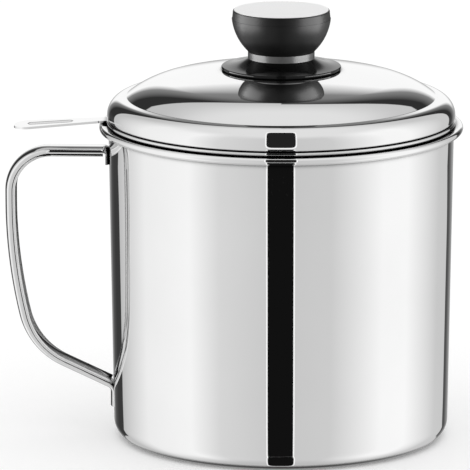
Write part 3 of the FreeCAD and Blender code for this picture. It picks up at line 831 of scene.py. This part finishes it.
@dataclass(frozen=True)
class Tent:
    """The round cloth tent that the steel reflects.

    Tones are screen tones as the steel shows them. Turns are degrees round the pot from the camera.
    """

    radius: float = 4.0
    segments: int = 96
    rings: int = 48
    walls: tuple[tuple[float, float], ...] = (
        (-180, 190),
        (-138, 190),
        (-104, 237),
        (-64, 245),
        (-42, 214),
        (0, 198),
        (34, 203),
        (72, 246),
        (94, 248),
        (132, 200),
        (180, 190),
    )
    roof_tone: float = 223.0
    roof: tuple[float, float] = (40.0, 66.0)
    table_tone: float = 188.0
    table: tuple[float, float] = (-40.0, -75.0)
    opening: Opening = field(default_factory=Opening)
    overhead: Flag = Flag(start=-4.0, end=92.0, girth=0.0826, tone=34.0, roundness=8.0)
    underfoot: Flag = Flag(start=-97.0, end=-18.0, girth=0.0774, tone=17.0, roundness=5.0)

    def level(self, sheet: NodeSheet) -> bpy.types.NodeSocket:
        """Wire up the light level that leaves each place of the tent."""
        parts = sheet.add("ShaderNodeSeparateXYZ")
        sheet.join(sheet.object_place(), parts.inputs[0])
        across, away, up = (sheet.maths("DIVIDE", parts.outputs[axis], self.radius) for axis in range(3))
        toward = sheet.maths("MULTIPLY", away, -1.0)
        turn = sheet.maths("MULTIPLY", sheet.maths("ARCTAN2", across, toward), DEGREES)
        rise = sheet.maths("MULTIPLY", sheet.maths("ARCSINE", up), DEGREES)
        share = sheet.maths("ADD", sheet.maths("DIVIDE", turn, 2 * HALF_TURN), 0.5)
        stops = [(angle / (2 * HALF_TURN) + 0.5, linear(tone)) for angle, tone in self.walls]
        level = sheet.ramp(share, stops)
        level = sheet.blend(sheet.smooth(rise, *self.roof), level, linear(self.roof_tone))
        level = sheet.blend(sheet.smooth(rise, *self.table), level, linear(self.table_tone))
        level = self.opening.paint(sheet, level, turn, rise)
        place = sheet.maths("ARCTAN2", up, toward)
        for flag in (self.overhead, self.underfoot):
            level = flag.paint(sheet, level, place, across)
        return level

    def build(self, azimuth: float) -> None:
        """Hang the tent round the pot, seen only by what reflects it.

        Args:
            azimuth: How far the camera, which the tent faces, stands round the pot.
        """
        bpy.ops.mesh.primitive_uv_sphere_add(
            segments=self.segments, ring_count=self.rings, radius=self.radius
        )
        tent = bpy.context.object
        tent.name = "tent"
        tent.rotation_euler = (0, 0, math.radians(azimuth))
        sheet = NodeSheet("tent_cloth")
        sheet.glow(sheet.maths("DIVIDE", self.level(sheet), STEEL_LIGHT))
        tent.data.materials.append(sheet.material)
        show_to_reflections_only(tent)


@dataclass(frozen=True)
class DarkCard:
    """The dark card with a pale hem that stands low before the pot, seen only in reflections."""

    distance: float = 0.5
    left: float = -74.4 * MM
    right: float = 69.7 * MM
    top: float = 1.5 * MM
    height: float = 0.2
    margin: float = 1.2
    tone: float = 17.0
    side_roundness: float = 9.0
    end_roundness: float = 165.0
    hem: float = 1.11
    end_hem: float = 1.006

    def build(self, azimuth: float) -> None:
        """Stand the card in front of the pot.

        Args:
            azimuth: How far the camera stands round the pot.
        """
        bpy.ops.mesh.primitive_plane_add()
        card = bpy.context.object
        card.name = "dark_card"
        half_width = (self.right - self.left) / 2
        turn = Matrix.Rotation(math.radians(azimuth), 4, "Z")
        middle = Vector(((self.left + self.right) / 2, -self.distance, self.top - self.height / 2))
        upright = Matrix.Rotation(QUARTER_TURN, 4, "X")
        spread = Matrix.Diagonal((half_width, self.height / 2, 1.0, 1.0))
        card.matrix_world = turn @ Matrix.Translation(middle) @ upright @ spread
        only(card)
        bpy.ops.transform.resize(value=(self.margin, self.margin, self.margin))
        sheet = NodeSheet("card_cloth")
        parts = sheet.add("ShaderNodeSeparateXYZ")
        sheet.join(sheet.object_place(), parts.inputs[0])
        sides, ends = (
            sheet.maths("MULTIPLY", sheet.maths("ABSOLUTE", parts.outputs[axis]), self.margin)
            for axis in (0, 1)
        )
        inside = sheet.rounded(sides, ends, self.side_roundness, self.end_roundness)
        hemmed = sheet.rounded(
            sheet.maths("DIVIDE", sides, self.hem),
            sheet.maths("DIVIDE", ends, self.end_hem),
            self.side_roundness,
            self.end_roundness,
        )
        level = sheet.blend(inside, linear(HEM_TONE), linear(self.tone))
        sheet.glow(sheet.maths("DIVIDE", level, STEEL_LIGHT), hemmed)
        card.data.materials.append(sheet.material)
        show_to_reflections_only(card)


@dataclass(frozen=True)
class SideLamps:
    """Two upright soft boxes, one to each side, that light only some of the knob's pieces.

    Their turns are degrees round the pot from the camera.
    """

    nodes: tuple[str, ...]
    power: float
    turns: tuple[float, float] = (-86.0, 78.0)
    distance: float = 0.9
    height: float = -0.05
    width: float = 1.1
    tall: float = 1.0

    def build(self, azimuth: float) -> None:
        """Stand the lamps beside the pot.

        Args:
            azimuth: How far the camera stands round the pot.
        """
        lit = bpy.data.collections.new("knob_lit")
        for node in self.nodes:
            lit.objects.link(frame["nodes"][node])
        for number, turn in enumerate(self.turns):
            data = bpy.data.lights.new(f"soft_box_{number}", "AREA")
            data.shape = "RECTANGLE"
            data.size = self.width
            data.size_y = self.tall
            data.energy = self.power
            lamp = bpy.data.objects.new(data.name, data)
            bpy.context.scene.collection.objects.link(lamp)
            angle = math.radians(azimuth + turn)
            toward = Vector((math.sin(angle), -math.cos(angle), 0))
            place = toward * self.distance + Vector((0, 0, self.height))
            aim = toward.to_track_quat("Z", "Y").to_matrix().to_4x4()
            lamp.matrix_world = Matrix.Translation(place) @ aim
            lamp.light_linking.receiver_collection = lit
            lamp.light_linking.blocker_collection = lit


@dataclass
class Studio:
    """The floor, the tent, the dark card, the knob's lamps and the camera.

    The lens and the sensor are in millimetres, and the picture's width and columns in pixels.
    """

    tent: Tent = field(default_factory=Tent)
    card: DarkCard = field(default_factory=DarkCard)
    lamps: tuple[SideLamps, ...] = (
        SideLamps(("knob_skirt", "knob_grip"), power=36.0),
        SideLamps(("knob_collar",), power=10.0),
    )
    floor_size: float = 6.0
    floor_level: float = 0.8
    floor_glow: float = 0.24
    distance: float = 2.4
    elevation: float = 12.17
    azimuth: float = 1.8
    aim_height: float = 0.070
    lens: float = 533.3
    sensor: float = 36.0
    picture_width: float = 470.0
    axis_column: float = 281.0

    def add_world(self) -> None:
        """Light everything evenly from a white world."""
        world = bpy.data.worlds.new("white_world")
        world.use_nodes = True
        world.node_tree.nodes["Background"].inputs["Color"].default_value = grey(1.0)
        bpy.context.scene.world = world

    def add_floor(self) -> None:
        """Lay the pale floor, which the steel doesn't reflect."""
        bpy.ops.mesh.primitive_plane_add(size=self.floor_size)
        floor = bpy.context.object
        floor.name = "floor"
        sheet = NodeSheet("pale_floor")
        paint = sheet.add("ShaderNodeBsdfDiffuse")
        paint.inputs["Color"].default_value = grey(self.floor_level)
        light = sheet.add("ShaderNodeEmission")
        light.inputs["Color"].default_value = grey(1.0)
        path = sheet.add("ShaderNodeLightPath")
        strength = sheet.maths("MULTIPLY", path.outputs["Is Camera Ray"], self.floor_glow)
        sheet.join(strength, light.inputs["Strength"])
        both = sheet.add("ShaderNodeAddShader")
        sheet.join(paint.outputs[0], both.inputs[0])
        sheet.join(light.outputs[0], both.inputs[1])
        sheet.join(both.outputs[0], sheet.output.inputs["Surface"])
        floor.data.materials.append(sheet.material)
        floor.visible_glossy = False

    def add_camera(self) -> None:
        """Aim the camera so that the pot's axis lies right of the picture's middle."""
        turn = math.radians(self.azimuth)
        tilt = math.radians(self.elevation)
        back = Vector((math.sin(turn) * math.cos(tilt), -math.cos(turn) * math.cos(tilt), math.sin(tilt)))
        right = Vector((math.cos(turn), math.sin(turn), 0))
        pivot = Vector((0, 0, self.aim_height))
        aside = (self.axis_column - self.picture_width / 2) / self.picture_width * self.sensor
        side_step = aside / self.lens * self.distance
        place = pivot + back * self.distance
        target = pivot - right * side_step
        data = bpy.data.cameras.new("camera")
        data.lens = self.lens
        data.sensor_width = self.sensor
        camera = bpy.data.objects.new("camera", data)
        bpy.context.scene.collection.objects.link(camera)
        aim = (target - place).to_track_quat("-Z", "Y").to_matrix().to_4x4()
        camera.matrix_world = Matrix.Translation(place) @ aim
        bpy.context.scene.camera = camera

    def build(self) -> None:
        """Set up the studio."""
        self.add_world()
        self.add_floor()
        for piece in (self.tent, self.card, *self.lamps):
            piece.build(self.azimuth)
            LOG.info("set up %s", type(piece).__name__)
        self.add_camera()
        bpy.context.scene.view_settings.view_transform = "Standard"


def main() -> None:
    """Build the studio, the pot's finishes and its new pieces."""
    logging.basicConfig(level=logging.INFO)
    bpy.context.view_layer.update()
    bpy.ops.object.select_all(action="DESELECT")
    Studio().build()
    Pot().dress()
    WovenMesh().build()


if __name__ == "__main__":
    main()
